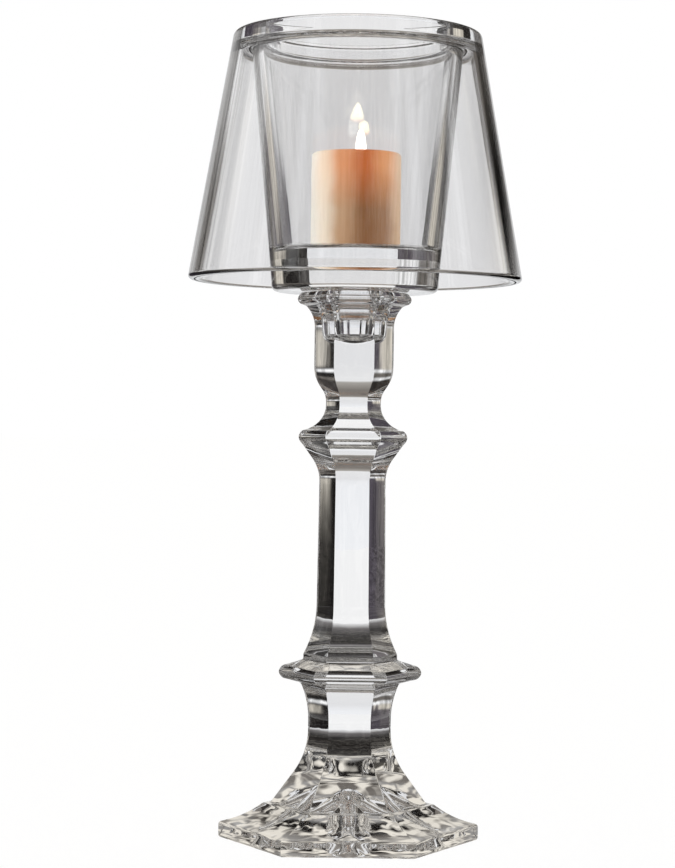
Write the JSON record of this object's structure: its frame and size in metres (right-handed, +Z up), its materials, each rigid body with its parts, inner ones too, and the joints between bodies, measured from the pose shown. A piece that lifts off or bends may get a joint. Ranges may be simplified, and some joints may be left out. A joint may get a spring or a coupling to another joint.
{
  "type": "candle lamp with shade",
  "caption": "Clear glass candle lamp: a six-sided moulded candlestick carries a pegged candle cup with a votive candle, and a cone-shaped glass shade hangs on the cup's rim.",
  "frame": {"origin": "centre of the foot, on the plane that it stands on", "axes": "+Z up along the stem; the candlestick's front facet faces -Y, and two corners of its foot lie on the X axis"},
  "size_m": [0.1418, 0.1418, 0.342],
  "materials": {
    "moulded_glass": "clear, fire polished",
    "cup_glass": "clear, fire polished",
    "shade_glass": "clear, fire polished",
    "wax": "ivory candle wax, satin, glowing at the top",
    "wick_cotton": "braided cotton, charred at the top",
    "tab_metal": "thin plain sheet metal"
  },
  "bodies": {
    "candlestick": {"candlestick": "moulded_glass"},
    "candle_cup": {"candle_cup": "cup_glass"},
    "shade": {"shade": "shade_glass"},
    "candle": {"candle": "wax", "wick": "wick_cotton", "wick_tab": "tab_metal"}
  },
  "joints": [
    {"name": "cup_lift", "type": "slide", "parent": "candlestick", "child": "candle_cup", "axis": [0, 0, 1], "range_m": [0, 0.04]},
    {"name": "shade_lift", "type": "slide", "parent": "candle_cup", "child": "shade", "axis": [0, 0, 1], "range_m": [0, 0.11]},
    {"name": "candle_lift", "type": "slide", "parent": "candle_cup", "child": "candle", "axis": [0, 0, 1], "range_m": [0, 0.11]}
  ]
}
